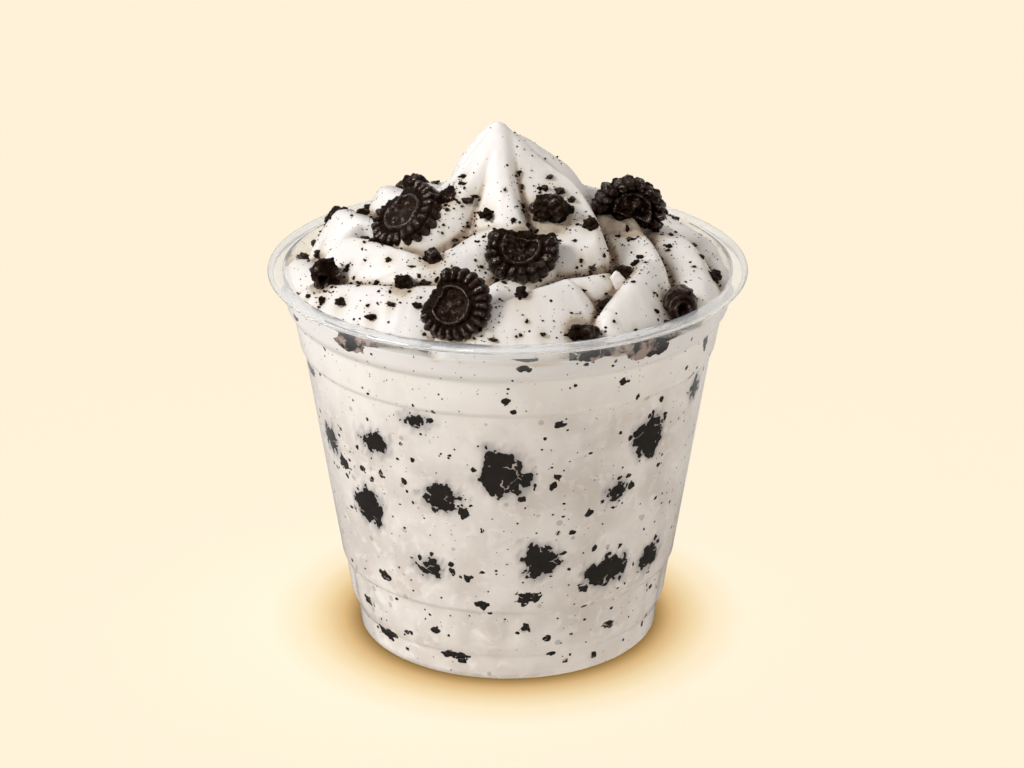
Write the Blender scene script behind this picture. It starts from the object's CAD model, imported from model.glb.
# A clear cup of blended ice cream with a swirled top and chocolate cookie pieces.
# Sizes here are millimetres, +Z up, and the front faces -Y. Meshes are made in metres.
import math

import bmesh
import bpy
import numpy as np
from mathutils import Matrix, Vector, noise


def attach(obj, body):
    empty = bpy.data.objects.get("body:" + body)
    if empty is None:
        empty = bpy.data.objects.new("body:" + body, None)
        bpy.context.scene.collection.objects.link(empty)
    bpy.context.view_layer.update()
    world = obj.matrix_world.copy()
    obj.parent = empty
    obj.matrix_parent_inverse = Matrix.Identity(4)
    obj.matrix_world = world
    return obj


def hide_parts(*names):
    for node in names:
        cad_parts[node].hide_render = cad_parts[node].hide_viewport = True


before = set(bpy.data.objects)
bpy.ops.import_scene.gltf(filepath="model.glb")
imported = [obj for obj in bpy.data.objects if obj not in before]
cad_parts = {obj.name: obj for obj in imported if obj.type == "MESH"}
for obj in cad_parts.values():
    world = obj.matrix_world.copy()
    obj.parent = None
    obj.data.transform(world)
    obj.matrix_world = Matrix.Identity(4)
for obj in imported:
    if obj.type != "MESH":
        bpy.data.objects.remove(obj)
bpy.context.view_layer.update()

MM = 0.001


# ---- small tools ----

def linear(colour):
    """An sRGB hex colour as linear RGBA."""
    parts = [int(colour[i:i + 2], 16) / 255 for i in (1, 3, 5)]
    return [c / 12.92 if c <= 0.04045 else ((c + 0.055) / 1.055) ** 2.4 for c in parts] + [1]


def add_node(tree, kind, inputs=(), **settings):
    """Adds a node. inputs gives its sockets by name or number, or in a list the ones in use, in their
    own order: for MapRange the value, the range it comes from and the range it goes to. Each is a
    value, a hex colour, the socket that feeds it, or a node whose first output in use feeds it. A Mix
    mixes colours unless it is told otherwise."""
    made = tree.nodes.new("ShaderNode" + kind)
    if kind == "Mix":
        made.data_type = "RGBA"
    for name, value in settings.items():
        setattr(made, name, value)
    if isinstance(inputs, list):
        pairs = zip((socket for socket in made.inputs if socket.enabled), inputs)
    else:
        pairs = ((made.inputs[name], value) for name, value in dict(inputs).items())
    for socket, value in list(pairs):
        if isinstance(value, str):
            value = linear(value)
        if isinstance(value, bpy.types.Node):
            value = next(output for output in value.outputs if output.enabled)
        if isinstance(value, bpy.types.NodeSocket):
            tree.links.new(value, socket)
        else:
            socket.default_value = value
    return made


def new_material(name):
    """An empty material, its node tree, and the place on the object in metres."""
    material = bpy.data.materials.new(name)
    material.use_nodes = True
    material.node_tree.nodes.clear()
    return material, material.node_tree, add_node(material.node_tree, "TexCoord").outputs["Object"]


def make_piece(name, points, faces, material, replaces=(), weld=False, turned=False):
    """A mesh piece from points in mm. It rides on the cup and stands for the CAD nodes named."""
    mesh = bpy.data.meshes.new(name)
    mesh.from_pydata((np.asarray(points) * MM).tolist(), [], [list(face) for face in faces])
    if weld:
        joined_on_axis(mesh)
    if turned:
        mesh.flip_normals()
    mesh.polygons.foreach_set("use_smooth", [True] * len(mesh.polygons))
    mesh.materials.append(material)
    piece = bpy.data.objects.new(name, mesh)
    bpy.context.scene.collection.objects.link(piece)
    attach(piece, "root")
    if replaces:
        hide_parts(*replaces)
    return piece


def joined_on_axis(mesh):
    """Joins points that lie on each other, such as those on the axis, and turns the faces outward."""
    body = bmesh.new()
    body.from_mesh(mesh)
    bmesh.ops.remove_doubles(body, verts=body.verts, dist=1e-7)
    bmesh.ops.recalc_face_normals(body, faces=body.faces)
    body.to_mesh(mesh)
    body.free()


def paint(piece, name, values):
    """Keeps one number for each point of a piece, for its material to read."""
    attribute = piece.data.attributes.new(name, "FLOAT", "POINT")
    attribute.data.foreach_set("value", np.asarray(values, np.float32))


def grid_faces(rows, columns, closed=True, first=0):
    """Quads between rows of points. Closed joins each row's ends."""
    row = np.arange(rows - 1)[:, None]
    column = np.arange(columns if closed else columns - 1)[None, :]
    after = (column + 1) % columns
    a = first + row * columns + column
    b = first + row * columns + after
    c, d = b + columns, a + columns
    return np.stack([a, b, c, d], -1).reshape(-1, 4)


def make_draw(seed):
    """The same repeatable draw of numbers from 0 to 1 as the solids use."""
    state = seed * 9301 + 49297

    def draw():
        nonlocal state
        state = (state * 9301 + 49297) % 233280
        return state / 233280
    return draw


def between(ends, share):
    return ends[0] + (ends[1] - ends[0]) * share


def smooth_step(low, high, value):
    t = np.clip((value - low) / (high - low), 0, 1)
    return t * t * (3 - 2 * t)


def soft_noise(points, size, octaves, seed=0):
    """Noise from about -1 to 1 at points in mm. size is how wide its blobs are."""
    shift = Vector((17.3 * seed, -9.1 * seed, 4.7 * seed))
    scaled = np.asarray(points) / size
    return np.array([noise.fractal(Vector(p) + shift, 0.9, 2.1, octaves) for p in scaled.tolist()])


def grains(points, size, seed=0):
    """How far each point is from the nearest grain's middle, from 0 to about 1."""
    shift = Vector((5.1 * seed, 3.3 * seed, -7.7 * seed))
    scaled = (np.asarray(points) / size).tolist()
    return np.array([noise.voronoi(Vector(p) + shift)[0][0] for p in scaled])


# ---- the cup's own sizes, as in the solids ----

WALL = 0.6
CUP = dict(
    punt_radius=27.6, punt_height=3.6, stand_inner=29.5, stand_outer=30.9,
    foot_radius=31.8, foot_height=5.3, band_radius=33.3, band_height=8.6,
    band_top_radius=34.4, band_top_height=16.4, body_radius=34.9, body_height=17.1,
    ledge_radius=41.9, ledge_height=62.5, collar_radius=42.6, collar_height=63.3,
    step_radius=43.9, step_height=70.6, neck_radius=45.1, neck_height=71.8,
    lip_root_radius=45.9, lip_root_height=77.4, lip_radius=48.9, height=79.7,
    floor_height=4.2,
)
FLUTES, FLUTE_DEPTH = 30, 0.3
SEGMENTS = 300
SINK = 0.27          # how far the food reaches into the wall, so that no air shows between them


def side(part):
    """A part of the cup's outside, as its radius and height."""
    return np.array([CUP[part + "_radius"], CUP[part + "_height"]])


OUTSIDE = np.array([
    (CUP["stand_outer"] + 0.4, 0.4), side("foot"), side("foot") + (0.5, 0.8),
    *map(side, ["band", "band_top", "body", "ledge", "collar", "step", "neck", "lip_root"]),
])
INSIDE = OUTSIDE[1:] + np.array([-WALL, 0.15])


CORNER_STEPS = 4


def rounded(profile, radius):
    """A profile with each corner turned into a small curve."""
    profile = [np.array(p, float) for p in profile]
    points = [profile[0]]
    for before, corner, after in zip(profile, profile[1:], profile[2:]):
        back, ahead = before - corner, after - corner
        lengths = np.hypot(*back), np.hypot(*ahead)
        reach = min(radius, 0.45 * lengths[0], 0.45 * lengths[1])
        start = corner + back / lengths[0] * reach
        end = corner + ahead / lengths[1] * reach
        for i in range(CORNER_STEPS + 1):
            t = i / CORNER_STEPS
            points.append(start * (1 - t) ** 2 + corner * 2 * t * (1 - t) + end * t * t)
    points.append(profile[-1])
    return np.array(points)


def refined(profile, spacing):
    """A profile with extra points, so that none are further apart than spacing."""
    points = [profile[0]]
    for a, b in zip(profile, profile[1:]):
        steps = max(1, math.ceil(np.hypot(*(b - a)) / spacing))
        points.extend(a + (b - a) * i / steps for i in range(1, steps + 1))
    return np.array(points)


INNER_CURVE = rounded(INSIDE, 0.9)


def inside_radius(height):
    """The radius of the wall's inner face at a height."""
    return np.interp(height, INNER_CURVE[:, 1], INNER_CURVE[:, 0])


def flute_change(turn, height):
    """How far the fluted band draws the wall in, at an angle in radians."""
    low = smooth_step(CUP["band_height"] - 1.2, CUP["band_height"] + 0.6, height)
    high = 1 - smooth_step(CUP["band_top_height"] - 0.8, CUP["band_top_height"] + 0.8, height)
    return -FLUTE_DEPTH * (0.5 - 0.5 * np.cos(FLUTES * turn)) * low * high


def skin_point(turn, height, lift=0.0):
    """A point on the food's skin where it lies against the wall. lift moves it out."""
    radius = inside_radius(height) + flute_change(turn, height) + SINK + lift
    return np.stack([radius * np.cos(turn), radius * np.sin(turn), height + 0 * turn], -1)


def lathe(profile, segments):
    """Rings of points for a profile of [radius, height], with the flutes drawn in."""
    turn = np.linspace(0, 2 * math.pi, segments, endpoint=False)
    radius, height = profile[:, :1], profile[:, 1:]
    ring = radius + flute_change(turn[None, :], height) * (radius > 20)
    points = np.stack([ring * np.cos(turn), ring * np.sin(turn), height + 0 * ring], -1)
    return points.reshape(-1, 3), grid_faces(len(profile), segments)


# ---- materials ----

def specks(tree, place, cell, share, size):
    """A mask of specks. A share of the cells holds one, up to size across, all in mm."""
    cells = add_node(tree, "TexVoronoi", {"Vector": place, "Scale": 1 / (cell * MM)})
    pick = add_node(tree, "SeparateColor", {"Color": cells.outputs["Color"]})
    reach = add_node(tree, "MapRange", [pick, 1 - share, 1, 0, size / 2 / cell])
    inside = add_node(tree, "Math", [reach, cells.outputs["Distance"]], operation="SUBTRACT")
    return add_node(tree, "MapRange", [inside, 0, 0.12 * size / cell])


def thermoformed_pet():
    """Thermoformed PET sheet. It is clear and glossy, faint draw waves make its highlights waver, and
    the lip, where it is worked most, turns milky."""
    material, tree, place = new_material("thermoformed_pet")
    waves = add_node(tree, "TexNoise", {"Vector": place, "Scale": 1 / (7 * MM), "Detail": 2})
    bump = add_node(tree, "Bump", {"Height": waves, "Strength": 0.25, "Distance": 0.25 * MM})
    height = add_node(tree, "SeparateXYZ", {0: place}).outputs[2]
    haze = add_node(tree, "MapRange", [height, 72 * MM, 78 * MM, 1, 0.9])
    worked = add_node(tree, "MapRange", [height, 71 * MM, 77 * MM])
    tint = add_node(tree, "Mix", [worked, "#fbfaf9", "#f4f5f7"])
    sheet = add_node(tree, "BsdfPrincipled", {
        "Base Color": tint, "Roughness": 0.05, "IOR": 1.575,
        "Transmission Weight": haze, "Normal": bump,
    })
    clear = add_node(tree, "BsdfTransparent", {"Color": "#f6f6f5"})
    path = add_node(tree, "LightPath")
    soft = add_node(tree, "Math", [path.outputs["Is Shadow Ray"], path.outputs["Is Diffuse Ray"]],
                    operation="MAXIMUM")
    both = add_node(tree, "MixShader", [soft, sheet, clear])
    add_node(tree, "OutputMaterial", {"Surface": both})
    return material


def soft_serve():
    """Churned soft serve. It is warm white and softly lit from within, stained where crumbs melt in."""
    material, tree, place = new_material("churned_soft_serve")
    cloud = add_node(tree, "TexNoise", {"Vector": place, "Scale": 1 / (9 * MM), "Detail": 3})
    cream = add_node(tree, "Mix", [cloud, "#e8e0d8", "#f0eae4"])
    stain = add_node(tree, "Attribute", attribute_name="stain").outputs["Fac"]
    grain = add_node(tree, "TexNoise", {"Vector": place, "Scale": 1 / (1.6 * MM), "Detail": 3})
    patchy = add_node(tree, "MapRange", [grain, 0.3, 0.7, 0.35, 1])
    warm = add_node(tree, "MapRange", [stain, 0, 0.5])
    golden = add_node(tree, "Mix", [warm, cream, "#d6c8b4"])
    deep = add_node(tree, "MapRange", [stain, 0.45, 1.05])
    soaked = add_node(tree, "Math", [deep, patchy], operation="MULTIPLY")
    stained = add_node(tree, "Mix", [soaked, golden, "#6e4422"])
    fine = specks(tree, place, 0.9, 0.3, 0.42)
    medium = specks(tree, place, 2.1, 0.4, 0.8)
    dark = add_node(tree, "Math", [fine, medium], operation="MAXIMUM")
    colour = add_node(tree, "Mix", [dark, stained, "#2a1d16"])
    air = add_node(tree, "TexNoise", {"Vector": place, "Scale": 1 / (0.8 * MM), "Detail": 2})
    bump = add_node(tree, "Bump", {"Height": air, "Strength": 0.35, "Distance": 0.12 * MM})
    skin = add_node(tree, "BsdfPrincipled", {
        "Base Color": colour, "Roughness": 0.36, "IOR": 1.36, "Normal": bump,
        "Subsurface Weight": 0.12, "Subsurface Scale": 1.0 * MM, "Subsurface Radius": (1, 0.8, 0.6),
    })
    add_node(tree, "OutputMaterial", {"Surface": skin})
    return material


def blended_ice_cream():
    """Ice cream blended with crumb. Pressed on the wall it is greyer, mottled and finely specked."""
    material, tree, place = new_material("blended_ice_cream")
    height = add_node(tree, "SeparateXYZ", {0: place}).outputs[2]
    broad = add_node(tree, "TexNoise", {"Vector": place, "Scale": 1 / (11 * MM), "Detail": 4})
    patch = add_node(tree, "MapRange", [broad, 0.36, 0.64])
    blend = add_node(tree, "Mix", [patch, "#d8cdc3", "#ece3da"])
    smear = add_node(
        tree, "TexNoise", {"Vector": place, "Scale": 1 / (3 * MM), "Detail": 3, "Distortion": 0.8},
    )
    pale = add_node(tree, "MapRange", [smear, 0.52, 0.75])
    smeared = add_node(tree, "Mix", [pale, blend, "#f1e8e0"])
    ragged = add_node(tree, "Math", [broad, 14 * MM, height], operation="MULTIPLY_ADD")
    upper = add_node(tree, "MapRange", [ragged, 62 * MM, 78 * MM])
    whiter = add_node(tree, "Mix", [upper, smeared, "#f7efe6"])
    veil = add_node(tree, "Attribute", attribute_name="veil").outputs["Fac"]
    veiled = add_node(tree, "Mix", [veil, whiter, "#7d7c80"])
    buried = specks(tree, place, 3.4, 0.55, 1.7)
    faint = add_node(tree, "Math", [buried, 0.4], operation="MULTIPLY")
    clouded = add_node(tree, "Mix", [faint, veiled, "#857870"])
    dust = specks(tree, place, 0.8, 0.26, 0.36)
    fine = specks(tree, place, 1.9, 0.36, 0.7)
    dark = add_node(tree, "Math", [dust, fine], operation="MAXIMUM")
    colour = add_node(tree, "Mix", [dark, clouded, "#3a302b"])
    skin = add_node(tree, "BsdfPrincipled", {
        "Base Color": colour, "Roughness": 0.5, "IOR": 1.36, "Specular IOR Level": 0.15,
        "Subsurface Weight": 0.2, "Subsurface Scale": 1.2 * MM, "Subsurface Radius": (1, 0.85, 0.7),
    })
    add_node(tree, "OutputMaterial", {"Surface": skin})
    return material


def baked_cocoa_wafer():
    """Baked cocoa wafer. Its hollows are nearly black and dull, and its worn ridges browner, with the
    shine of a thin film of cocoa fat."""
    material, tree, place = new_material("baked_cocoa_wafer")
    worn = add_node(tree, "Attribute", attribute_name="worn").outputs["Fac"]
    crumb = add_node(tree, "TexNoise", {"Vector": place, "Scale": 1 / (1.1 * MM), "Detail": 4})
    both = add_node(tree, "Math", [crumb, 0.55, worn], operation="MULTIPLY_ADD")
    tone = add_node(tree, "MapRange", [both, 0.35, 1.2])
    colour = add_node(tree, "Mix", [tone, "#070302", "#23140d"])
    gloss = add_node(tree, "MapRange", [both, 0.35, 1.1, 0.62, 0.28])
    coat = add_node(tree, "MapRange", [both, 0.65, 1.1, 0, 1])
    pores = add_node(tree, "TexNoise", {"Vector": place, "Scale": 1 / (0.6 * MM), "Detail": 4})
    bump = add_node(tree, "Bump", {"Height": pores, "Strength": 1.0, "Distance": 0.28 * MM})
    skin = add_node(tree, "BsdfPrincipled", {
        "Base Color": colour, "Roughness": gloss, "IOR": 1.5, "Normal": bump,
        "Specular IOR Level": 0.3, "Coat Weight": coat, "Coat Roughness": 0.16,
        "Coat IOR": 1.47, "Coat Normal": bump, "Specular Tint": "#c79a7c",
    })
    add_node(tree, "OutputMaterial", {"Surface": skin})
    return material


def soaked_cocoa_wafer():
    """Cocoa wafer soaked in cream and pressed on plastic. It is darkest, with pale cracks of cream."""
    material, tree, place = new_material("soaked_cocoa_wafer")
    warp = add_node(tree, "TexNoise", {"Vector": place, "Scale": 1 / (3 * MM), "Detail": 2})
    bent = add_node(tree, "Mix", [0.004, place, warp.outputs[1]], data_type="VECTOR")
    cracks = add_node(
        tree, "TexVoronoi", {"Vector": bent, "Scale": 1 / (4.5 * MM)}, feature="DISTANCE_TO_EDGE",
    )
    line = add_node(tree, "MapRange", [cracks, 0.008, 0.028, 1, 0])
    some = add_node(tree, "MapRange", [warp, 0.54, 0.62])
    shown = add_node(tree, "Math", [line, some], operation="MULTIPLY")
    tone = add_node(tree, "TexNoise", {"Vector": place, "Scale": 1 / (1.2 * MM), "Detail": 3})
    dark = add_node(tree, "Mix", [tone, "#090605", "#1b1411"])
    height = add_node(tree, "SeparateXYZ", {0: place}).outputs[2]
    smear = add_node(tree, "TexNoise", {"Vector": place, "Scale": 1 / (4 * MM), "Detail": 3})
    wet = add_node(tree, "MapRange", [smear, 0.5, 0.56])
    by_rim = add_node(tree, "MapRange", [height, 71 * MM, 72 * MM])
    smeared = add_node(tree, "Math", [wet, by_rim], operation="MULTIPLY")
    creamed = add_node(tree, "Mix", [smeared, dark, "#9c8578"])
    colour = add_node(tree, "Mix", [shown, creamed, "#b9aca2"])
    skin = add_node(tree, "BsdfPrincipled", {
        "Base Color": colour, "Roughness": 0.45, "IOR": 1.5, "Specular IOR Level": 0.2,
    })
    add_node(tree, "OutputMaterial", {"Surface": skin})
    return material


def matte_card():
    """Matte cream card for the floor, warmer and darker close round the cup. It sends white light back
    up, and gloss sees it dim in front, so that reflections don't wash out the dark cookie."""
    material, tree, place = new_material("matte_card")
    flat = add_node(tree, "VectorMath", [place, (1, 1, 0)], operation="MULTIPLY")
    away = add_node(tree, "VectorMath", [flat], operation="LENGTH")
    share = add_node(tree, "MapRange", [away.outputs["Value"], 31 * MM, 51 * MM])
    tint = add_node(tree, "ValToRGB", {"Fac": share})
    tones = tint.color_ramp.elements
    tones[0].color, tones[1].color = linear("#8b6d3c"), linear("#fdf0d8")
    for where, colour in ((0.2, "#d4b27e"), (0.38, "#e8d0a2"), (0.62, "#f5e4c3")):
        tones.new(where).color = linear(colour)
    path = add_node(tree, "LightPath")
    sight = add_node(tree, "Math", [path.outputs["Is Camera Ray"], path.outputs["Is Transmission Ray"]],
                     operation="MAXIMUM")
    depth = add_node(tree, "SeparateXYZ", {0: place}).outputs[1]
    behind = add_node(tree, "MapRange", [depth, 0, 90 * MM])
    in_gloss = add_node(tree, "Mix", [behind, "#55524e", "#bfbcb8"])
    soft = add_node(tree, "Mix", [path.outputs["Is Diffuse Ray"], in_gloss, "#f3f0ed"])
    shown = add_node(tree, "Mix", [sight, soft, tint])
    darker = add_node(tree, "Mix", [0.5, "#000000", shown])
    card = add_node(tree, "BsdfDiffuse", {"Color": darker})
    add_node(tree, "OutputMaterial", {"Surface": card})
    return material


pet = thermoformed_pet()
cream_material = soft_serve()
blend_material = blended_ice_cream()
cookie_material = baked_cocoa_wafer()
soaked_material = soaked_cocoa_wafer()


# ---- the clear cup ----

def lip_curve(width, rise, start, end, steps):
    """Part of an ellipse round the lip's middle, by its angles in degrees."""
    middle = CUP["lip_radius"] - (CUP["lip_radius"] - CUP["lip_root_radius"] + WALL) / 2
    top = CUP["height"] - 0.85
    turns = np.radians(np.linspace(start, end, steps))
    return [(middle + width * math.cos(a), top + rise * math.sin(a)) for a in turns]


LIP_WIDTH = (CUP["lip_radius"] - CUP["lip_root_radius"] + WALL) / 2
LIP_RISE = 0.85
LIP_SHEET = 0.42


def cup_profile():
    """The sheet's section: out over the foot and wall, round the rolled lip, and back down inside."""
    outer_lip = lip_curve(LIP_WIDTH - LIP_SHEET, LIP_RISE - LIP_SHEET, 160, -70, 18)
    inner_lip = lip_curve(LIP_WIDTH, LIP_RISE, -75, 172, 26)
    outside = rounded([
        (0, CUP["punt_height"]), (CUP["punt_radius"], CUP["punt_height"]),
        (CUP["stand_inner"], 0), (CUP["stand_outer"], 0), *OUTSIDE,
        (CUP["lip_root_radius"] + 0.1, CUP["height"] - 1.2),
    ], 0.8)
    inside = rounded([
        (CUP["lip_root_radius"] - WALL + 0.05, CUP["height"] - 1.0), *INSIDE[::-1],
        (CUP["stand_outer"] - 0.3, 0.9), (CUP["stand_inner"] + 0.4, 0.9),
        (CUP["punt_radius"] + 0.4, CUP["floor_height"]), (0, CUP["floor_height"]),
    ], 0.9)
    whole = np.vstack([outside, outer_lip, inner_lip, inside])
    return refined(whole, 3.0)


points, faces = lathe(cup_profile(), SEGMENTS)
make_piece("clear_cup", points, faces, pet, ["cup"], weld=True)


# ---- the folded surface ----

SURFACE = dict(
    edge_height=77.0, dome=10.1, dome_radius=45, peak=19.9, peak_spread=14.2, peak_power=1.85,
    back_drop=2.6, back_drop_from=28, hollow=3.2, edge_hollow=1.0, blend=0.35,
)
EDGE_RADIUS = 44.6

# Each fold's crest: angle from and to, bow, radius from and to, lift at its start, middle and end,
# the crest's rounding, and the slopes of its inner and outer sides.
FOLDS = [
    (-106, -83, 0, 0.3, 17, 0.8, 2, 1.8, 2.6, 0.38, 1.05),
    (-84, -136, 0, 15, 33, 0.8, 2.2, 1.8, 3, 0.45, 0.75),
    (-124, -146, 0, 2, 25, 0.8, 2.2, 2.8, 3, 0.45, 0.9),
    (-158, -178, 0, 0.5, 19, 0.8, 0.6, 1.4, 2.4, 0.6, 0.9),
    (-30, -47, 12, 1, 25, 1, 3, 3, 2.2, 0.26, 1.4),
    (14, 2, 0, 1, 18, 0.8, 2.8, 0.8, 2.6, 0.4, 1),
    (95, 60, 0, 1, 20, 0.8, 2.2, 1.8, 2.2, 0.4, 1.2),
    (160, 120, 0, 1, 20, 0.8, 2, 1.8, 2.2, 0.4, 1.2),
    (26, -12, 4, 18, 27, 1.4, 2.4, 1.6, 2.4, 0.35, 1.2),
    (-6, -34, 4, 21, 35, 1.2, 2.2, 2.2, 2.4, 0.4, 1.2),
    (-33, -60, 0, 33.5, 40, 2.4, 2.8, 1.6, 2.8, 0.9, 0.8),
    (16, -26, 4, 29, 43, 1.4, 2, 1.2, 3, 0.3, 0.9),
    (20, -12, 0, 41, 45, 0.4, 0.4, 0.2, 3, 0.3, 0.6),
    (-64, -92, 0, 23, 29, 0.2, 0.8, 0.6, 3, 0.4, 0.8),
    (-50, -72, 0, 31, 30, 1.4, 1.4, 1, 2.4, 0.6, 0.7),
    (-70, -104, 0, 33, 40, 2.6, 2.6, 1.2, 2.4, 0.9, 0.5),
    (-110, -156, 0, 31, 42, 1.2, 2, 1.4, 3, 0.7, 0.5),
    (-128, -166, 0, 27.5, 33, 2, 3.4, 3.2, 2.4, 0.8, 0.5),
    (-150, -182, 0, 38, 43, 1.2, 1.2, 0.8, 3, 0.5, 0.6),
    (182, 192, 0, 28, 35, 2.6, 3.2, 2.6, 1.6, 0.8, 0.8),
    (184, 146, 0, 29, 42, 3, 3.8, 2, 2.4, 0.5, 0.9),
    (176, 132, 0, 20, 36, 1.6, 4.2, 2.8, 2.4, 0.45, 0.9),
    (140, 92, 0, 24, 42, 2.2, 2.8, 1.6, 2.8, 0.4, 0.9),
    (96, 50, 0, 22, 42, 1.8, 2.6, 1.6, 2.8, 0.4, 0.9),
    (58, 14, 0, 21, 42, 1.6, 2.4, 1.6, 2.8, 0.4, 0.9),
]
FOLD_STEPS = 30
DEPTH = 1.5          # the folds are this much deeper than in the solids


def mean_height(x, y, lean=0.0, power=SURFACE["peak_power"]):
    """The surface before its folds. lean moves the tip of the peak to the left."""
    s = SURFACE
    r = np.hypot(x, y)
    tip = np.hypot(x + lean * np.exp(-((r / 11) ** 2)), y)
    dome = s["dome"] * (1 - (r / s["dome_radius"]) ** 2)
    peak = s["peak"] * np.exp(-((tip / s["peak_spread"]) ** power))
    to_back = np.clip(y / np.maximum(r, 1e-6), 0, 1)
    outer = np.clip((r - s["back_drop_from"]) / (s["dome_radius"] - s["back_drop_from"]), 0, 1)
    return s["edge_height"] + dome + peak - s["back_drop"] * to_back * outer ** 1.5


def fold_rise(fold, x, y):
    """How far one fold stands above the mean surface."""
    turn_from, turn_to, bow, r_from, r_to, start, middle, end, rounding, inner, outer = fold
    t = np.linspace(0, 1, FOLD_STEPS)
    turn = np.radians(turn_from + (turn_to - turn_from) * t + 4 * bow * t * (1 - t))
    r = r_from + (r_to - r_from) * t
    cx, cy = r * np.cos(turn), r * np.sin(turn)
    lift = start * (1 - t) * (1 - 2 * t) + middle * 4 * t * (1 - t) + end * t * (2 * t - 1)
    nearest = np.full(x.shape, np.inf)
    rise = np.full(x.shape, -1e3)
    for i in range(FOLD_STEPS - 1):
        dx, dy = cx[i + 1] - cx[i], cy[i + 1] - cy[i]
        length = math.hypot(dx, dy)
        px, py = x - cx[i], y - cy[i]
        along = np.clip((px * dx + py * dy) / length ** 2, 0, 1)
        qx, qy = px - along * dx, py - along * dy
        away = np.hypot(qx, qy)
        side = (dx * qy - dy * qx) / length / np.maximum(away, 1e-6)
        slope = inner + (outer - inner) * (0.5 + 0.5 * np.clip(side, -1, 1))
        here = lift[i] + (lift[i + 1] - lift[i]) * along
        here = here - slope * (np.hypot(away, rounding) - rounding)
        closer = away < nearest
        nearest = np.where(closer, away, nearest)
        rise = np.where(closer, here, rise)
    return rise


def cream_height(x, y, deeper=1.0, join=SURFACE["blend"], **peak):
    """The highest fold at each place, softly joined to its neighbours."""
    to_wall = np.minimum(1, np.hypot(x, y) / EDGE_RADIUS) ** 4
    hollow = SURFACE["hollow"] + (SURFACE["edge_hollow"] - SURFACE["hollow"]) * to_wall
    deeper = 1 + (deeper - 1) * smooth_step(5, 15, np.hypot(x, y))
    rises = deeper * np.stack([fold_rise(fold, x, y) for fold in FOLDS] + [-hollow])
    top = rises.max(0)
    joined = np.exp((rises - top) / join).sum(0)
    return mean_height(x, y, **peak) + top + join * np.log(joined)


CELL = 0.3           # of the height map
SPAN = 46.5
axis = np.arange(-SPAN, SPAN + CELL, CELL)
map_x, map_y = np.meshgrid(axis, axis, indexing="ij")
height_map = cream_height(map_x.ravel(), map_y.ravel(), DEPTH, 0.2, lean=1.8, power=1.6)
height_map = height_map.reshape(map_x.shape)


def blurred(grid, width):
    """A grid smoothed over a width in mm."""
    reach = int(3 * width / CELL)
    steps = np.arange(-reach, reach + 1) * CELL
    kernel = np.exp(-0.5 * (steps / width) ** 2)
    kernel /= kernel.sum()
    padded = np.pad(grid, reach, mode="edge")
    rows = np.apply_along_axis(np.convolve, 0, padded, kernel, "valid")
    return np.apply_along_axis(np.convolve, 1, rows, kernel, "valid")


def from_map(grid, x, y):
    """A grid's value at places in mm."""
    u = np.clip((np.asarray(x) + SPAN) / CELL, 0, len(axis) - 1.001)
    v = np.clip((np.asarray(y) + SPAN) / CELL, 0, len(axis) - 1.001)
    i, j = u.astype(int), v.astype(int)
    u, v = u - i, v - j
    low = grid[i, j] * (1 - v) + grid[i, j + 1] * v
    high = grid[i + 1, j] * (1 - v) + grid[i + 1, j + 1] * v
    return low * (1 - u) + high * u


height_map += 1.0 * (height_map - blurred(height_map, 2.0))     # fuller crests and tighter creases
crease_map = blurred(height_map, 1.5) - height_map


def sunk(x, y):
    """How far a cookie piece moves up or down with the cream below it, which isn't where the solids'
    cream is."""
    was = float(cream_height(np.array([float(x)]), np.array([float(y)]))[0])
    return np.clip(float(from_map(height_map, x, y)) - was, -1, 1)


# ---- the cookie pieces on top ----

# The wafers: the outward look is a plan angle and a rise, whole is the part of the rim that isn't
# broken off, bite bends the break, hub is the embossing's middle, and crag is how rugged the face is.
WAFER_COLUMNS = "name at look spin radius whole bite ridges thickness seed hub crag".split()
WAFERS = [dict(zip(WAFER_COLUMNS, row)) for row in [
    ("left", (-21.0, -9.0, 92.2), (-146, 47), 0, 8.0, (-170, 110), -1.4, 18, 3.6, 3, (0, 0), 0.8),
    ("front", (-10.6, -39.4, 84.3), (-106, 27), 0, 7.2, (-158, 118), 0.5, 18, 3.4, 5, (-0.6, -0.4), 1),
    ("middle", (2.7, -24.0, 91.0), (-97, 50), 0, 7.2, (-212, 24), -0.9, 12, 3.4, 7, (0, -1.2), 2),
    ("right", (24.6, -1.6, 88.6), (-78, 2), -21, 7.6, (-12, 192), 0.4, 11, 3.8, 11, (0, 2.4), 3.2),
    ("back", (6, 27, 88.4), (96, 48), 14, 7.1, (-150, 100), 1, 15, 3.2, 13, (0, 0), 1),
    ("back_right", (31, 22, 84.6), (40, 40), 60, 6.6, (-190, 15), -1, 12, 3.2, 17, (0, -1.4), 1.3),
]]
# The lumps, each with its middle and its width.
LUMPS = {
    "cookie_chunk_centre": (8.5, -13.8, 94.6, 10), "cookie_chunk_right": (33.9, -25.2, 80.8, 8.6),
    "cookie_chunk_left": (-36.2, -17.9, 82.4, 8), "cookie_chunk_hollow": (22, -21.6, 84.4, 7.8),
    "cookie_chunk_rim": (14.4, -39.2, 79.6, 7.6), "cookie_chunk_small_left": (-14.7, -22.4, 87.4, 5.2),
    "cookie_chunk_small_low": (-20.5, -27.7, 84.2, 4.8), "cookie_chunk_ridge": (-11.8, -9, 95.4, 5.4),
    "cookie_chunk_back": (-20, 25, 86.6, 8.6), "cookie_chunk_back_left": (-35.5, 14, 82.6, 6.8),
    "cookie_chunk_back_edge": (-7, 40, 76.4, 7.2), "cookie_chunk_back_high": (-3, 14, 94.6, 5),
}

AROUND = 240          # points round a wafer
BACK_ROWS = 6         # rings of points on its back


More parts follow.
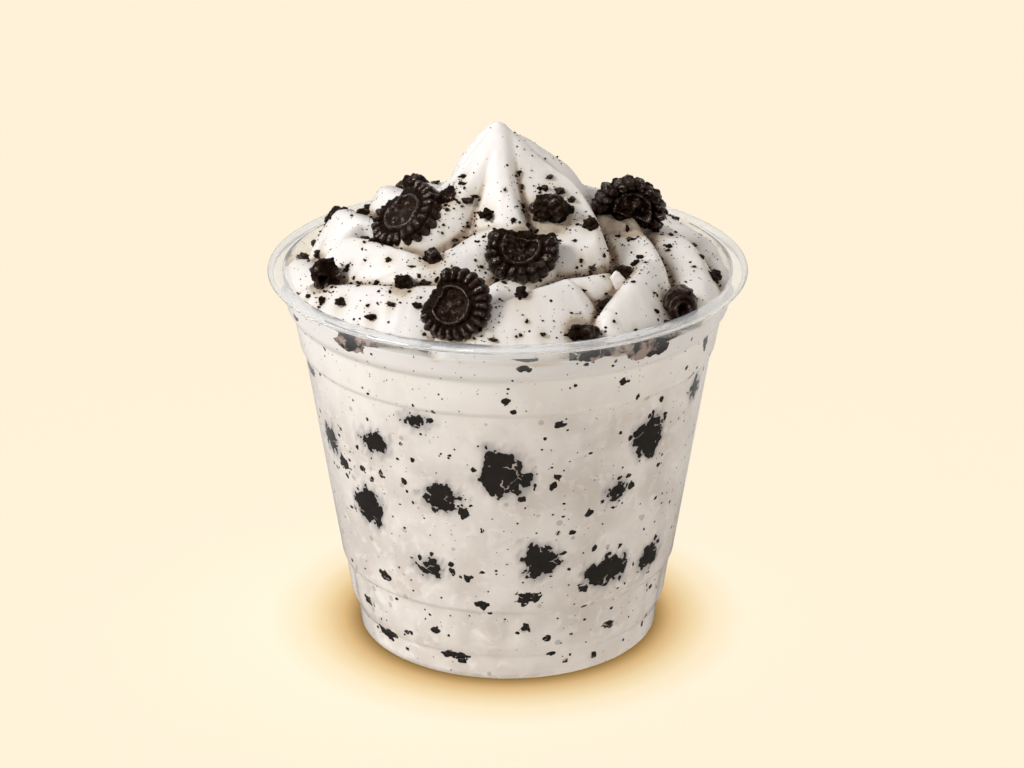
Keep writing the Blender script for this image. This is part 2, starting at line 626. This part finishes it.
def facing(look, spin):
    """Axes for a face that looks along a plan angle and a rise, spun in its own plane."""
    turn, rise = map(math.radians, look)
    z = np.array([math.cos(rise) * math.cos(turn), math.cos(rise) * math.sin(turn), math.sin(rise)])
    x = np.cross([0, 0, 1], z)
    x /= np.linalg.norm(x)
    y = np.cross(z, x)
    c, s = math.cos(math.radians(spin)), math.sin(math.radians(spin))
    return np.stack([x * c + y * s, y * c - x * s, z])


def wafer_outline(spec):
    """Points round a broken wafer, how far each is along the ridges, and how whole its edge is."""
    start, end = map(math.radians, spec["whole"])
    radius = spec["radius"]
    arc = radius * (end - start)
    first = radius * np.array([math.cos(end), math.sin(end)])
    last = radius * np.array([math.cos(start), math.sin(start)])
    gap = np.linalg.norm(last - first)
    on_arc = int(AROUND * arc / (arc + gap))
    turn = np.linspace(start, end, on_arc)
    ridge = spec["ridges"] * (turn - start) / (end - start)
    ring = np.stack([radius * np.cos(turn), radius * np.sin(turn)], -1)
    t = np.linspace(0, 1, AROUND - on_arc + 2)[1:-1, None]
    across = first + (last - first) * t
    inward = spec["bite"] * 4 * t * (1 - t) / radius
    across = across * (1 - inward)
    wobble = soft_noise(np.hstack([across, 0 * t + spec["seed"]]), 2.2, 3)[:, None]
    across = across * (1 + 0.2 * wobble)
    whole = np.concatenate([np.ones(on_arc), np.zeros(len(across))])
    fade = np.convolve(np.concatenate([whole[-6:], whole, whole[:6]]), np.ones(7) / 7, "same")[6:-6]
    phase = np.concatenate([ridge, np.full(len(across), ridge[-1])])
    return np.vstack([ring, across]), phase, fade


def wafer_points(spec):
    """A wafer's face with its rim ridges, ring and dots, its side and its back."""
    outline, phase, whole = wafer_outline(spec)
    hub = np.array(spec["hub"])
    radius, thick = spec["radius"], spec["thickness"]
    ridge = np.abs(np.sin(math.pi * phase)) ** 0.7 * whole
    rows = []
    for share in np.linspace(0, 1, 38) ** 0.8:
        xy = hub + (outline - hub) * share
        rim = smooth_step(0.6, 0.72, share) * (1 - smooth_step(0.9, 1.0, share))
        height = 1.15 * rim * ridge - 0.35 * smooth_step(0.56, 0.64, share)
        height = height + 0.75 * np.exp(-((share - 0.5) / 0.05) ** 2)
        spots = 0.5 + 0.5 * np.cos(5 * np.arctan2(outline[:, 1], outline[:, 0]) + spec["seed"])
        height = height + 0.6 * spots ** 2 * np.exp(-((share - 0.27) / 0.08) ** 2)
        height = height + 0.4 * math.exp(-(share / 0.12) ** 2)
        edge = smooth_step(0.88, 1.0, share)
        height = height - edge * (0.55 - 0.25 * ridge)
        xy = xy * (1 - 0.09 * smooth_step(0.6, 1.0, share) * (1 - ridge) * whole)[:, None]
        rows.append(np.column_stack([xy, height + 0 * phase]))
    for down in np.linspace(0.08, 1, 10):
        bulge = 1 + 0.03 * math.sin(math.pi * down) - 0.09 * (1 - ridge) * whole
        bulge = bulge - 0.05 * smooth_step(0.85, 1, down)
        low = np.full(len(phase), -thick * down) + (-0.9 + 0.25 * ridge) * (1 - down)
        rows.append(np.column_stack([outline * bulge[:, None], low]))
    for share in np.linspace(0.92, 0, BACK_ROWS):
        xy = hub + (outline - hub) * share
        rows.append(np.column_stack([xy * 0.97, np.full(len(phase), -thick)]))
    flat = np.array(rows).reshape(-1, 3)
    seed = spec["seed"]
    worn = smooth_step(-0.3, 0.75, flat[:, 2] + 0.2 * soft_noise(flat, 0.7, 2, seed))
    lower = flat[:, 2] < -0.35
    worn[lower] = (0.25 + 0.5 * np.tile(ridge, len(rows)))[lower]
    back = slice(-BACK_ROWS * len(phase), None)
    worn[back] = 0.35 + 0.25 * soft_noise(flat[back], 1.5, 2, seed)
    rough = 0.2 * soft_noise(flat, 1.0, 3, seed) + 0.45 * soft_noise(flat, 3.0, 2, seed + 1)
    rough *= spec["crag"]
    chipped = np.tile(1 - whole, len(rows))
    to_edge = np.linalg.norm(flat[:, :2] - hub, axis=1) / radius
    chipped = chipped * smooth_step(0.45, 0.95, to_edge)
    crumbly = (0.5 - grains(flat, 1.3, seed)) * 0.8 * chipped
    outward = flat * np.array([1, 1, 0.6])
    outward = outward / np.maximum(np.linalg.norm(outward, axis=1), 1e-6)[:, None]
    flat = flat + outward * crumbly[:, None]
    flat[:, 2] += rough * np.where(flat[:, 2] > -0.7 * thick, 1, 0.4)
    side = np.abs(flat[:, 2] + thick / 2) < thick * 0.4
    flat[side, :2] *= (1 + rough[side] * 0.08)[:, None]
    return flat, len(rows), worn


for spec in WAFERS:
    local, row_count, worn = wafer_points(spec)
    x, y, z = spec["at"]
    world = local @ facing(spec["look"], spec["spin"]) + np.array([x, y, z + sunk(x, y)])
    name = "cookie_wafer_" + spec["name"]
    wafer = make_piece(f"{name}_baked", world, grid_faces(row_count, AROUND), cookie_material,
                       [name], turned=True)
    paint(wafer, "worn", worn)


def remeshed(node, voxel):
    """A copy of a CAD node's shape with small even faces, as points in mm, normals and faces."""
    shape = bpy.data.objects.new("shape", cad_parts[node].data.copy())
    bpy.context.scene.collection.objects.link(shape)
    even = shape.modifiers.new("even", "REMESH")
    even.mode, even.voxel_size = "VOXEL", voxel * MM
    soften = shape.modifiers.new("soften", "SMOOTH")
    soften.factor, soften.iterations = 0.6, 8
    mesh = shape.evaluated_get(bpy.context.evaluated_depsgraph_get()).to_mesh()
    count = len(mesh.vertices)
    points, normals = np.zeros(3 * count), np.zeros(3 * count)
    mesh.vertices.foreach_get("co", points)
    mesh.vertices.foreach_get("normal", normals)
    faces = [tuple(face.vertices) for face in mesh.polygons]
    bpy.data.objects.remove(shape)
    return points.reshape(-1, 3) / MM, normals.reshape(-1, 3), faces


LUMP_GRAIN = 0.24     # the width of a lump's small faces
GROOVED = "cookie_chunk_right"
TO_CAMERA = np.array([0, -0.92, 0.38])
PITS = {"cookie_chunk_right": (0.4, 0, 1.9), "cookie_chunk_left": (-0.4, -0.2, 1.7),
        "cookie_chunk_hollow": (0.8, -1.2, 1.4)}     # a hollow's place across and up, and its depth

for index, (name, (x, y, z, _)) in enumerate(LUMPS.items()):
    skin, normals, faces = remeshed(name, LUMP_GRAIN)
    local = skin - np.array([x, y, z])
    swell = 0.7 * (0.5 - grains(skin, 1.9, index)) + 0.4 * (0.5 - grains(skin, 0.9, index))
    swell += 0.8 * soft_noise(skin, 2.6, 4, index)
    if name in PITS:
        across, up, depth = PITS[name]
        aside, above = local[:, 0] - across, local[:, 2] - up
        away = np.hypot(aside * 1.2, above) * (1 + 0.4 * soft_noise(skin, 1.6, 2, 9))
        fronted = smooth_step(0.1, 0.6, normals @ TO_CAMERA)
        swell += fronted * (0.3 * np.exp(-((away - 1.4) / 0.4) ** 2) - depth * np.exp(-(away / 0.8) ** 4))
        if name == GROOVED:
            swell = 0.4 * (swell + 1)
            swell += 0.22 * np.sin(2 * math.pi * np.hypot(aside, above) / 1.1)
            swell -= fronted * depth * np.exp(-(away / 1.1) ** 4)
            swell -= 0.5 * np.mean(swell)
    lump = make_piece(f"{name}_baked", skin + normals * swell[:, None] + np.array([0, 0, sunk(x, y)]),
                      faces, cookie_material, [name])
    paint(lump, "worn", smooth_step(-0.4, 0.8, swell))


# ---- the swirl ----

RINGS = 142           # rings of points from the peak to the wall
SIDE_ROWS = 9         # rows of points down the wall
SWIRL_RADIUS = 45.6   # before the wall holds it in
SWIRL_BASE = 71.0     # how low it runs down the wall


def swirl_mesh():
    """A round height field of even triangles that runs down the wall at its edge."""
    points = [(0.0, 0.0)]
    first = [0]
    for ring in range(1, RINGS + 1):
        first.append(len(points))
        turn = np.arange(6 * ring) * 2 * math.pi / (6 * ring)
        r = SWIRL_RADIUS * ring / RINGS
        points.extend(zip(r * np.cos(turn), r * np.sin(turn)))
    faces = []
    for ring in range(1, RINGS + 1):
        out_first, in_first = first[ring], first[ring - 1]
        out_count, in_count = 6 * ring, max(1, 6 * (ring - 1))
        for sector in range(6):
            for i in range(ring):
                a = out_first + (sector * ring + i) % out_count
                b = out_first + (sector * ring + i + 1) % out_count
                c = in_first + (sector * (ring - 1) + i) % in_count
                faces.append((a, b, c))
                if i < ring - 1:
                    faces.append((c, b, in_first + (sector * (ring - 1) + i + 1) % in_count))
    xy = np.array(points)
    z = from_map(height_map, xy[:, 0], xy[:, 1])
    flat = np.column_stack([xy, 0 * z])
    z = z + 0.22 * soft_noise(flat, 5, 2, 1) + 0.07 * soft_noise(flat, 1.6, 2, 2)
    r = np.hypot(xy[:, 0], xy[:, 1])
    limit = inside_radius(z) + SINK + 0.04
    pull = np.minimum(1, limit / np.maximum(r, 1e-6))
    top = np.column_stack([xy * pull[:, None], z])
    rim = top[first[RINGS]:]
    turn = np.arctan2(rim[:, 1], rim[:, 0])
    rows = [top]
    for share in np.linspace(0, 1, SIDE_ROWS)[1:]:
        rows.append(skin_point(turn, rim[:, 2] + (SWIRL_BASE - rim[:, 2]) * share, 0.04))
    side = grid_faces(SIDE_ROWS, len(rim), first=first[RINGS])
    return np.vstack(rows), faces + side[:, ::-1].tolist()


swirl_points, faces = swirl_mesh()
swirl = make_piece("churned_swirl", swirl_points, faces, cream_material,
                   ["soft_serve_swirl"])


COOKIE_SPANS = [(*spec["at"], spec["radius"] * 0.9) for spec in WAFERS]
COOKIE_SPANS += [(x, y, z, size * 0.42) for x, y, z, size in LUMPS.values()]


def near_cookies(points, reach):
    """How close each point is to a big cookie piece, from 0 to 1 at its skin."""
    near = np.zeros(len(points))
    for x, y, z, radius in COOKIE_SPANS:
        away = np.linalg.norm(points - np.array([x, y, z]), axis=1) - radius
        near = np.maximum(near, 1 - np.clip(away / reach, 0, 1))
    return near


# ---- crumbs scattered on the swirl ----

# The larger crumbs that the photograph shows: place across and back, and width.
CRUMB_PLACES = [
    (-29.8, 4.5, 3.2), (-41.9, 1.0, 2.4), (-39.0, 4.4, 2.8), (-16.2, -26.7, 2.4), (-26.5, -31.7, 2.0),
    (-32.8, -26.1, 2.4), (-4.0, -14.4, 3.2), (16.3, -15.1, 3.4), (19.1, -29.9, 3.6), (2.5, -35.5, 4.4),
    (37.6, 6.4, 3.2), (41.4, -9.7, 3.6), (10.4, -9.2, 2.6), (-18.6, -2.0, 2.8),
    (-36.7, -23.0, 2.4), (-7.9, -11.3, 2.0), (-6.6, -10.6, 1.6), (8.4, -6.9, 1.8), (7.4, -9.3, 1.8),
    (-2.9, -42.7, 1.6), (16.5, -22, 2.0), (-28.4, -10.7, 1.6), (-23.5, -20.5, 2.0), (12.9, -9.9, 2.0),
    (26.2, -15.3, 1.4), (39.2, -5.3, 1.8), (24.8, -35.4, 1.2), (-5.6, -12.9, 1.6), (24.1, -6.6, 2.0),
    (-12.6, -3.8, 2.2), (-11.2, -5.2, 1.6), (-13.6, -5.6, 1.6),
]
BACK_CRUMBS = dict(count=7, from_axis=(14, 41), turn=(15, 170), width=(2, 3.4), seed=41)


def back_crumbs():
    """The larger crumbs that the photograph's view doesn't reach, where the solids have them."""
    b = BACK_CRUMBS
    draw = make_draw(b["seed"])
    places = []
    for i in range(b["count"]):
        turn = math.radians(between(b["turn"], (i + draw()) / b["count"]))
        r = between(b["from_axis"], draw())
        places.append((r * math.cos(turn), r * math.sin(turn), between(b["width"], draw())))
    return places


def ball(level):
    """A round ball of triangles, as points and faces."""
    body = bmesh.new()
    bmesh.ops.create_icosphere(body, subdivisions=level, radius=1)
    points = np.array([v.co[:] for v in body.verts])
    faces = np.array([[v.index for v in face.verts] for face in body.faces])
    body.free()
    return points, faces


BALLS = {level: ball(level) for level in (1, 2, 3, 4)}
FINENESS = (2.3, 4), (1.5, 3), (0.6, 2), (0, 1)     # a crumb wider than the first takes this ball
rng = np.random.default_rng(11)


def crumb_cloud(places):
    """Uneven lumps from places of x, y, z and width, all in one mesh, and a tone for each."""
    points, faces, tones, count = [], [], [], 0
    for x, y, z, width in places:
        level = next(level for least, level in FINENESS if width > least)
        shape, triangles = BALLS[level]
        stretch = rng.uniform((0.6, 0.35, 0.45), (1.25, 0.9, 1.0)) * width / 2
        stretch[2] *= 0.8
        offset = rng.uniform(-40, 40, 3)
        lumpy = 1 + 0.55 * soft_noise(shape * 1.1 + offset, 1, 2)
        if level > 1:
            lumpy += 0.5 * (0.45 - grains(shape * 1.6 + offset, 1))
        turn = rng.uniform(0, 2 * math.pi)
        body = shape * lumpy[:, None] * stretch
        c, s = math.cos(turn), math.sin(turn)
        body = body @ np.array([[c, s, 0], [-s, c, 0], [0, 0, 1]])
        points.append(body + np.array([x, y, z]))
        faces.append(triangles + count)
        tones.append(np.full(len(shape), rng.uniform(0, 0.6)))
        count += len(shape)
    return np.vstack(points), np.vstack(faces), np.concatenate(tones)


def scattered(count, width, crowd):
    """Random places on the cream, more of them in creases and beside cookies."""
    places = []
    while len(places) < count:
        r = 44.3 * math.sqrt(rng.random())
        turn = rng.uniform(0, 2 * math.pi)
        x, y = r * math.cos(turn), r * math.sin(turn)
        z = float(from_map(height_map, x, y))
        crease = float(smooth_step(0.25, 0.9, from_map(crease_map, x, y)))
        close = float(near_cookies(np.array([[x, y, z]]), 4)[0])
        patch = noise.noise(Vector((x / 9, y / 9, 3.1)))
        chance = 0.04 + crowd * (crease + 0.6 * close) + 0.4 * max(0, patch)
        if rng.random() < chance and close < 0.97:
            places.append((x, y, float(rng.uniform(*width)) * float(rng.uniform(0.6, 1))))
    return places


crumb_places = CRUMB_PLACES + back_crumbs()
for count, width, crowd in (220, (1.1, 2.2), 1.8), (900, (0.5, 1.15), 1.0), (3000, (0.25, 0.6), 0.8):
    crumb_places += scattered(count, width, crowd)
crumb_places = [(x, y, float(from_map(height_map, x, y)) + 0.1 * w, w) for x, y, w in crumb_places]
points, faces, tones = crumb_cloud(crumb_places)
crumbs = make_piece("cookie_crumbs", points, faces, cookie_material)
paint(crumbs, "worn", tones)

# A tongue of cream that stands against the piece in the hollow, narrower at its top.
TONGUE_AT, TONGUE_SIZE = np.array([21.3, -24.0, 83.0]), np.array([2.4, 1.2, 3.2])
shape, faces = BALLS[4]
points = shape * TONGUE_SIZE
points[:, :2] *= 1 - 0.45 * shape[:, 2:]
points = points + 0.35 * soft_noise(points, 2.2, 3, 8)[:, None] * shape + TONGUE_AT
tongue = make_piece("cream_tongue", points, faces, cream_material)

# Brown cream in the creases and round every larger crumb and cookie.
SOAK_CELLS = 12       # how far round a crumb the soak map is worked out
soak_map = np.zeros_like(height_map)
for x, y, z, width in crumb_places:
    if width > 0.8:
        i, j = int((x + SPAN) / CELL), int((y + SPAN) / CELL)
        window = tuple(slice(max(0, at - SOAK_CELLS), at + SOAK_CELLS + 1) for at in (i, j))
        away = np.hypot(map_x[window] - x, map_y[window] - y)
        soak_map[window] = np.maximum(soak_map[window], 0.45 * np.exp(-((away / (0.65 * width)) ** 2)))
crease = from_map(crease_map, swirl_points[:, 0], swirl_points[:, 1])
stain = smooth_step(0.05, 0.85, crease) + 0.8 * near_cookies(swirl_points, 2.4) ** 2
stain = np.maximum(stain, from_map(soak_map, swirl_points[:, 0], swirl_points[:, 1]))
against_wall = np.arange(len(swirl_points)) >= len(swirl_points) - (SIDE_ROWS - 1) * 6 * RINGS
paint(swirl, "stain", np.where(against_wall, 0, np.clip(stain, 0, 1)))


# ---- pieces seen through the wall ----

# Soaked pieces and crumbs on the wall: plan angle, height, width and how tall they are.
WALL_CHUNKS = [
    (-133, 74.5, 9.6, 4.6), (-53, 74.4, 12.6, 5.0), (-69, 75.4, 6.2, 2.6),
    (-155, 47.8, 6.7, 6.6), (-131, 52.4, 7.4, 5.1), (-92, 50.1, 11.0, 10.2), (-110, 43.2, 8.0, 6.4),
    (-138, 36.1, 8.5, 8.7), (-46, 53.0, 8.2, 9.7), (-56, 42.6, 5.3, 3.8), (-115.5, 26.0, 6.5, 4.8),
    (-80, 29.2, 8.5, 7.3), (-56, 24.0, 10.5, 7.6), (-36, 23.4, 7.1, 6.6), (-24, 58.6, 5.0, 5.4),
    (-116, 60.0, 5.4, 3.0),
]
BACK_CHUNKS = dict(count=8, turn=(8, 172), z=(22, 56), width=(5, 10), tall=(4, 8), seed=51)
WALL_MARKS = [
    (-86, 74.2, 3.6, 2.7), (-25, 69.5, 2.4, 4.8), (-164.3, 60.6, 7.5, 2.6), (-159.5, 73.4, 5.2, 1.9),
    (-58.4, 68.2, 2.7, 1.7), (-90.6, 66.5, 1.9, 1.7), (-75.6, 60.4, 2.4, 2.1), (-148.2, 44, 4.6, 3.9),
    (-103.8, 40.2, 2.9, 3), (-77, 46.6, 2, 2.1), (-64.9, 39, 2.2, 1.9), (-70.4, 35, 1.9, 1.5),
    (-103.2, 24.9, 2.5, 2.2), (-135.3, 20.7, 4.1, 2.6), (-150.4, 11, 5, 2), (-64.5, 21.2, 2.7, 2.2),
    (-83.2, 20.4, 6.1, 3.5), (-98.5, 18.7, 2.8, 2.2), (-83.9, 13, 2.4, 2), (-76.6, 10.2, 2.1, 1.8),
    (-51.7, 10, 3.7, 2), (-116.2, 10.5, 2.7, 1.8), (-141.9, 5.3, 6.7, 2.7), (-109.7, 5.1, 6.1, 1.8),
    (-74, 5.8, 2.1, 1.3),
]


def all_wall_chunks():
    """The front pieces, and the ones at the back as the solids place them."""
    b = BACK_CHUNKS
    draw = make_draw(b["seed"])
    chunks = list(WALL_CHUNKS)
    for i in range(b["count"]):
        turn = between(b["turn"], (i + 0.5) / b["count"])
        z = between(b["z"], i * 3 % b["count"] / (b["count"] - 1))
        width = between(b["width"], draw())
        chunks.append((turn, z, width, between(b["tall"], draw())))
    return chunks


RIM_FROM = 73         # soaked pieces above this lie flatter and less torn
PIECE_STEP = 0.25     # between the points of a soaked piece
PIECE_DEPTH, FLECK_DEPTH = 2.6, 0.8
PIECE_FLECKS, LOOSE_FLECKS, BACK_FLECKS = 9, 500, 26     # by each piece, all round, and large at the back


def piece_rise(along, up, spec, seed):
    """How far inside its ragged outline a place of a soaked piece is, in mm."""
    _, z, width, tall = spec
    torn = 0.4 if z > RIM_FROM else 1
    width, tall = 0.9 * width, 0.9 * tall * (0.6 + 0.4 * torn)
    small = min(width, tall) / 2
    flat = np.column_stack([along, up, 0 * up])
    bend = soft_noise(flat, 0.9 * small + 1, 2, seed + 3) * 0.35 * small
    whole = (1 - np.hypot((along + bend) / (width / 2), (up - bend) / (tall / 2))) * small
    reach = min(1.4, 0.45 * small + 0.2)
    ragged = soft_noise(flat, max(1.0, 0.45 * small), 3, seed) + 0.75 * (0.45 - grains(flat, 1.3, seed))
    crack = np.exp(-(soft_noise(flat, 3.1, 2, seed + 5) / 0.03) ** 2) * smooth_step(1.6, 3, small)
    return whole + (ragged * reach - 0.8 * crack) * torn


def wall_patch(spec, seed, step, depth):
    """A soaked piece on the wall: a ragged front that stands out of the cream, and a point behind."""
    turn, z, width, tall = spec
    columns = max(7, int(1.5 * width / step))
    rows = max(7, int(1.5 * tall / step))
    spread = [np.linspace(-0.75, 0.75, count) for count in (columns, rows)]
    along, up = np.meshgrid(spread[0] * width, spread[1] * tall)
    along, up = along.ravel(), up.ravel()
    rise = piece_rise(along, up, spec, seed)
    centre = math.radians(turn)
    angle = centre + along / float(inside_radius(z))
    front = skin_point(angle, z + up, np.clip(rise * 0.45, -0.7, 0.09))
    back = skin_point(np.array([centre]), np.array([z]), -depth)
    front_faces = grid_faces(rows, columns, closed=False).tolist()
    rim = np.concatenate([
        np.arange(columns), np.arange(1, rows) * columns + columns - 1,
        (rows - 1) * columns + np.arange(columns - 2, -1, -1), np.arange(rows - 2, 0, -1) * columns,
    ])
    sides = [(a, rows * columns, b) for a, b in zip(rim.tolist(), np.roll(rim, -1).tolist())]
    return np.vstack([front, back]), front_faces + sides


soaked = all_wall_chunks()
for index, spec in enumerate(soaked):
    points, faces = wall_patch(spec, 61 + index, PIECE_STEP, PIECE_DEPTH)
    make_piece(f"soaked_piece_{index + 1:02d}", points, faces, soaked_material,
               [f"wall_chunk_{index + 1:02d}"])


def wall_flecks():
    """Small soaked crumbs against the wall, some by the pieces and the rest all round."""
    flecks = list(WALL_MARKS)
    for turn, z, width, tall in soaked:
        for _ in range(PIECE_FLECKS):
            spread = rng.normal(0, 1, 2) * np.array([width, tall]) * 0.6
            where = turn + math.degrees(spread[0] / 38), z + spread[1]
            flecks.append((*where, *(rng.uniform(0.45, 1.5) * rng.uniform(0.7, 1.3, 2))))
    for _ in range(LOOSE_FLECKS):
        size = rng.choice([0.35, 0.45, 0.6, 1.0], p=[0.4, 0.3, 0.18, 0.12]) * rng.uniform(0.8, 1.2)
        flecks.append((rng.uniform(-180, 180), rng.uniform(3, 74), size * rng.uniform(0.8, 1.6), size))
    for _ in range(BACK_FLECKS):
        flecks.append((rng.uniform(5, 175), rng.uniform(6, 70), *rng.uniform(1.8, 3.6, 2)))
    return [fleck for fleck in flecks if 2.5 < fleck[1] < 75.5]


points, faces, count = [], [], 0
for index, spec in enumerate(wall_flecks()):
    step = max(0.14, min(0.3, min(spec[2:]) / 6))
    patch, sides = wall_patch(spec, 200 + index, step, FLECK_DEPTH)
    points.append(patch)
    faces.extend([corner + count for corner in face] for face in sides)
    count += len(patch)
make_piece("soaked_crumbs", np.vstack(points), faces, soaked_material)


# ---- the blend below the swirl ----

def blend_profile():
    """The food's section below the swirl, just inside the wall's own thickness."""
    side = INNER_CURVE[INNER_CURVE[:, 1] < 72.0] + np.array([SINK, 0])
    foot = [
        (0, CUP["floor_height"] - SINK), (CUP["punt_radius"] + 0.2, CUP["floor_height"] - SINK),
        (CUP["stand_inner"] + 0.2, 0.35), (CUP["stand_outer"], 0.35),
    ]
    top = [(float(inside_radius(72.2)) + SINK, 72.2), (20, 72.2), (0, 72.2)]
    return refined(np.vstack([foot, side, top]), 1.2)


points, faces = lathe(blend_profile(), 360)
blend = make_piece("blended_fill", points, faces, blend_material,
                   ["blended_ice_cream"], weld=True)


def veil_values(points):
    """How thinly the cream covers a soaked piece beneath it, from 0 to 1."""
    veil = np.zeros(len(points))
    turn = np.degrees(np.arctan2(points[:, 1], points[:, 0]))
    from_axis = np.hypot(points[:, 0], points[:, 1])
    for index, (middle, z, width, tall) in enumerate(soaked):
        offset = (turn - middle + 180) % 360 - 180
        along = np.radians(offset) * float(inside_radius(z))
        up = points[:, 2] - z
        near = (np.abs(along) < width) & (np.abs(up) < tall) & (from_axis > 25)
        if near.any():
            rise = piece_rise(along[near], up[near], soaked[index], 61 + index)
            veil[near] = np.maximum(veil[near], smooth_step(-2.3, 0.1, rise))
    return veil


co = np.zeros(3 * len(blend.data.vertices))
blend.data.vertices.foreach_get("co", co)
paint(blend, "veil", 0.6 * veil_values(co.reshape(-1, 3) / MM) ** 1.5)


# ---- floor, light and camera ----

bpy.ops.mesh.primitive_plane_add(size=8)
floor = bpy.context.object
floor.name = "floor_card"
floor.data.materials.append(matte_card())

world = bpy.data.worlds.new("studio")
bpy.context.scene.world = world
world.use_nodes = True
sky = world.node_tree
sky.nodes.clear()
seen_by = add_node(sky, "LightPath")
straight = add_node(sky, "Math", [
    seen_by.outputs["Is Camera Ray"], seen_by.outputs["Is Transmission Ray"],
], operation="MAXIMUM")
direction = add_node(sky, "SeparateXYZ", {0: add_node(sky, "TexCoord").outputs["Generated"]})
behind = add_node(sky, "MapRange", [direction.outputs[1], 0.1, 0.7])
in_gloss = add_node(sky, "Mix", [behind, "#4c4a48", "#cfccc8"])
soft = add_node(sky, "Mix", [seen_by.outputs["Is Diffuse Ray"], in_gloss, "#7d7b79"])
studio = add_node(sky, "Mix", [straight, soft, "#fdf0d9"])
add_node(sky, "OutputWorld", {"Surface": add_node(sky, "Background", {"Color": studio})})


def sun(name, energy, width, turn, rise, only_floor=False, in_gloss=True, shadow=True, leaving=(),
        tint="#ffffff"):
    """A distant soft light from a plan angle and rise in degrees. Only the floor takes it, or all else
    but the pieces in leaving."""
    lamp = bpy.data.objects.new(name, bpy.data.lights.new(name, "SUN"))
    bpy.context.scene.collection.objects.link(lamp)
    lamp.data.energy = energy
    lamp.data.angle = math.radians(width)
    lamp.data.color = linear(tint)[:3]
    lamp.data.use_shadow = shadow
    lamp.visible_glossy = in_gloss
    turn, rise = math.radians(turn), math.radians(rise)
    towards = Vector((math.cos(rise) * math.cos(turn), math.cos(rise) * math.sin(turn), math.sin(rise)))
    lamp.rotation_euler = towards.to_track_quat("Z", "Y").to_euler()
    lit = bpy.data.collections.new(name + "_lights")
    for piece in (floor, *leaving):
        lit.objects.link(piece)
    for entry in lit.collection_objects:
        entry.light_linking.link_state = "INCLUDE" if only_floor else "EXCLUDE"
    lamp.light_linking.receiver_collection = lit
    return lamp


sun("key_softbox", 2.25, 18, -155, 38, tint="#fbfdff")
sun("gloss_softbox", 1.6, 7, -118, 58, leaving=(swirl, tongue, blend))
sun("left_strip", 1.2, 60, 178, 8, in_gloss=False, tint="#e4efff")
sun("right_strip", 1.05, 60, 4, 8, in_gloss=False)
sun("front_strip", 0.33, 70, -72, 22, in_gloss=False)
sun("dome_softbox", 0.45, 150, -95, 60, in_gloss=False)
sun("floor_softbox", 5.75, 20, -90, 89, only_floor=True, in_gloss=False, shadow=False)

bpy.context.scene.view_settings.view_transform = "Standard"

CAMERA_RISE = 22.4
CAMERA_AWAY = 650
AIM = Vector((0.87, 0, 52.48)) * MM
camera = bpy.data.objects.new("camera", bpy.data.cameras.new("camera"))
bpy.context.scene.collection.objects.link(camera)
bpy.context.scene.camera = camera
camera.data.sensor_width = 36
camera.data.lens = 3137 / 1024 * 36
rise = math.radians(CAMERA_RISE)
camera.location = Vector((
    0, -CAMERA_AWAY * math.cos(rise) * MM, 52.48 * MM + CAMERA_AWAY * math.sin(rise) * MM,
))
camera.rotation_euler = (AIM - camera.location).to_track_quat("-Z", "Y").to_euler()
camera.data.clip_end = 20
